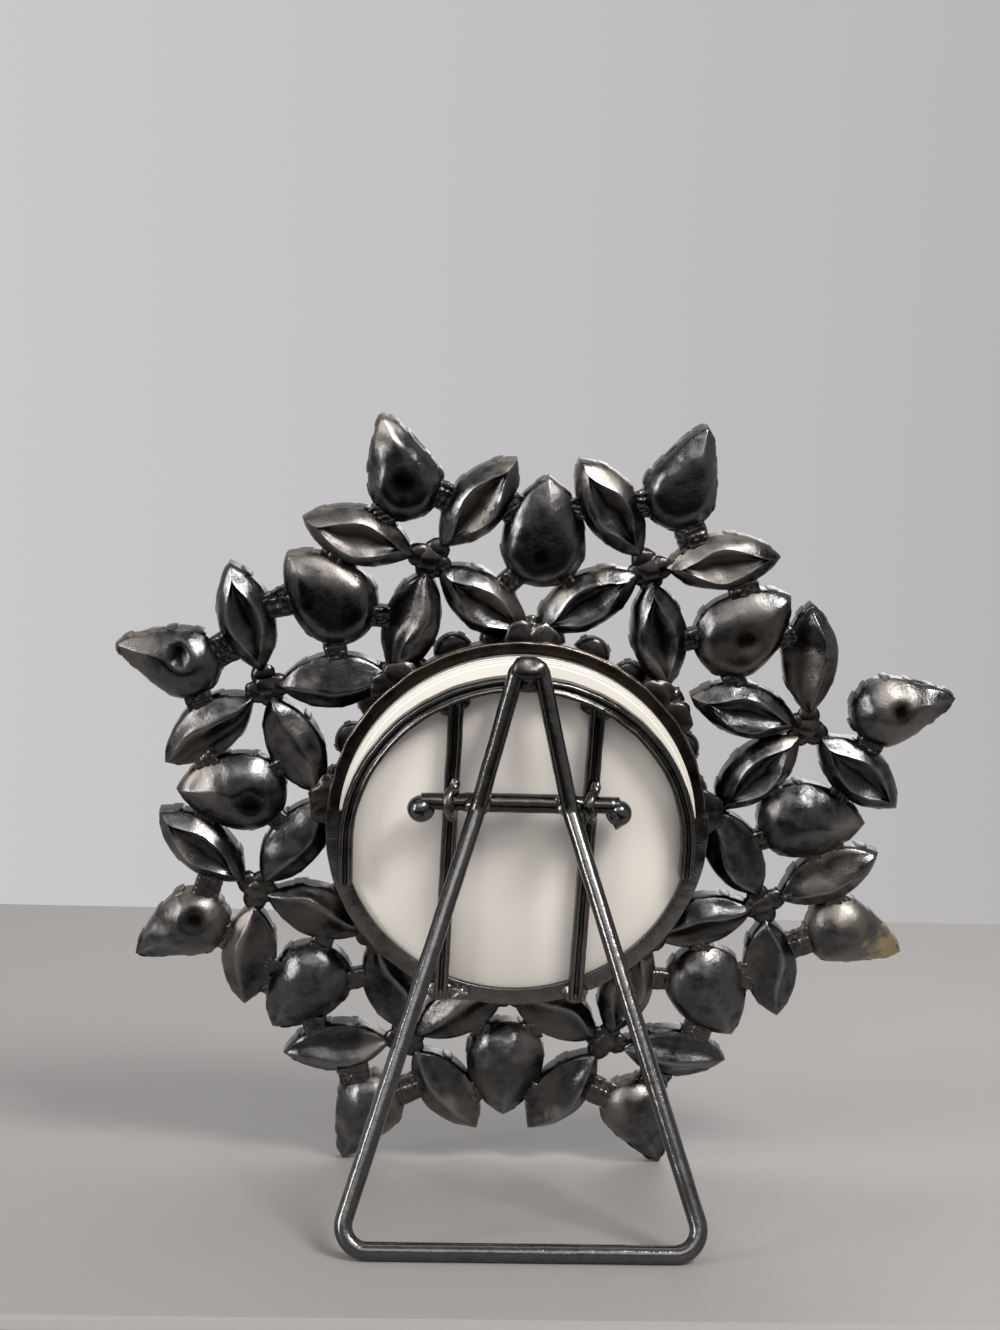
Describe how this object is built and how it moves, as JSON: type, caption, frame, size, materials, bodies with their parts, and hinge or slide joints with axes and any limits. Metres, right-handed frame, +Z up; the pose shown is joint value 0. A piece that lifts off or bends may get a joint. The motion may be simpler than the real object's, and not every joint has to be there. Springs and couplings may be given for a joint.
{
  "type": "photo frame",
  "caption": "Round standing photo frame: a wreath of eight soldered flowers of foiled glass stones round a 46 mm window, with a bent wire easel leg that folds.",
  "frame": {"origin": "on the shelf, straight below the centre of the ring's rear face, with the frame leaning back and the leg open", "axes": "+Z up, the picture faces -Y and leans back, the leg stands behind at +Y"},
  "size_m": [0.115, 0.0503, 0.1061],
  "materials": {
    "dark_metal": "polished dark plating",
    "solder": "rough dark plating over solder",
    "stone_glass": "faceted, foiled behind",
    "cover_glass": "clear",
    "photo_paper": "plain",
    "cream_board": "glossy cream"
  },
  "bodies": {
    "frame": {"flower_1": "dark_metal", "flower_stones_1": "stone_glass", "flower_solder_1": "solder", "between_pear_1": "dark_metal", "between_stone_1": "stone_glass", "flower_2": "dark_metal", "flower_stones_2": "stone_glass", "flower_solder_2": "solder", "between_pear_2": "dark_metal", "between_stone_2": "stone_glass", "flower_3": "dark_metal", "flower_stones_3": "stone_glass", "flower_solder_3": "solder", "between_pear_3": "dark_metal", "between_stone_3": "stone_glass", "flower_4": "dark_metal", "flower_stones_4": "stone_glass", "flower_solder_4": "solder", "between_pear_4": "dark_metal", "between_stone_4": "stone_glass", "flower_5": "dark_metal", "flower_stones_5": "stone_glass", "flower_solder_5": "solder", "between_pear_5": "dark_metal", "between_stone_5": "stone_glass", "flower_6": "dark_metal", "flower_stones_6": "stone_glass", "flower_solder_6": "solder", "between_pear_6": "dark_metal", "between_stone_6": "stone_glass", "flower_7": "dark_metal", "flower_stones_7": "stone_glass", "flower_solder_7": "solder", "between_pear_7": "dark_metal", "between_stone_7": "stone_glass", "flower_8": "dark_metal", "flower_stones_8": "stone_glass", "flower_solder_8": "solder", "between_pear_8": "dark_metal", "between_stone_8": "stone_glass", "ring": "dark_metal", "round_settings": "dark_metal", "half_moon_strip": "dark_metal", "wire_hoop": "dark_metal", "left_strut": "dark_metal", "right_strut": "dark_metal", "left_eyelet": "dark_metal", "right_eyelet": "dark_metal", "round_stones": "stone_glass"},
    "leg": {"easel_leg": "dark_metal", "crossbar": "dark_metal"},
    "photo_stack": {"cover_glass": "cover_glass", "photo_insert": "photo_paper", "backing_board": "cream_board"}
  },
  "joints": [
    {"name": "leg_hinge", "type": "hinge", "parent": "frame", "child": "leg", "pos_m": [0, 0.00739, 0.05479], "axis": [-1, 0, 0], "range_deg": [0, 40.9]},
    {"name": "photo_slide", "type": "slide", "parent": "frame", "child": "photo_stack", "axis": [0, 0.299, 0.9542], "range_m": [0, 0.054]}
  ]
}
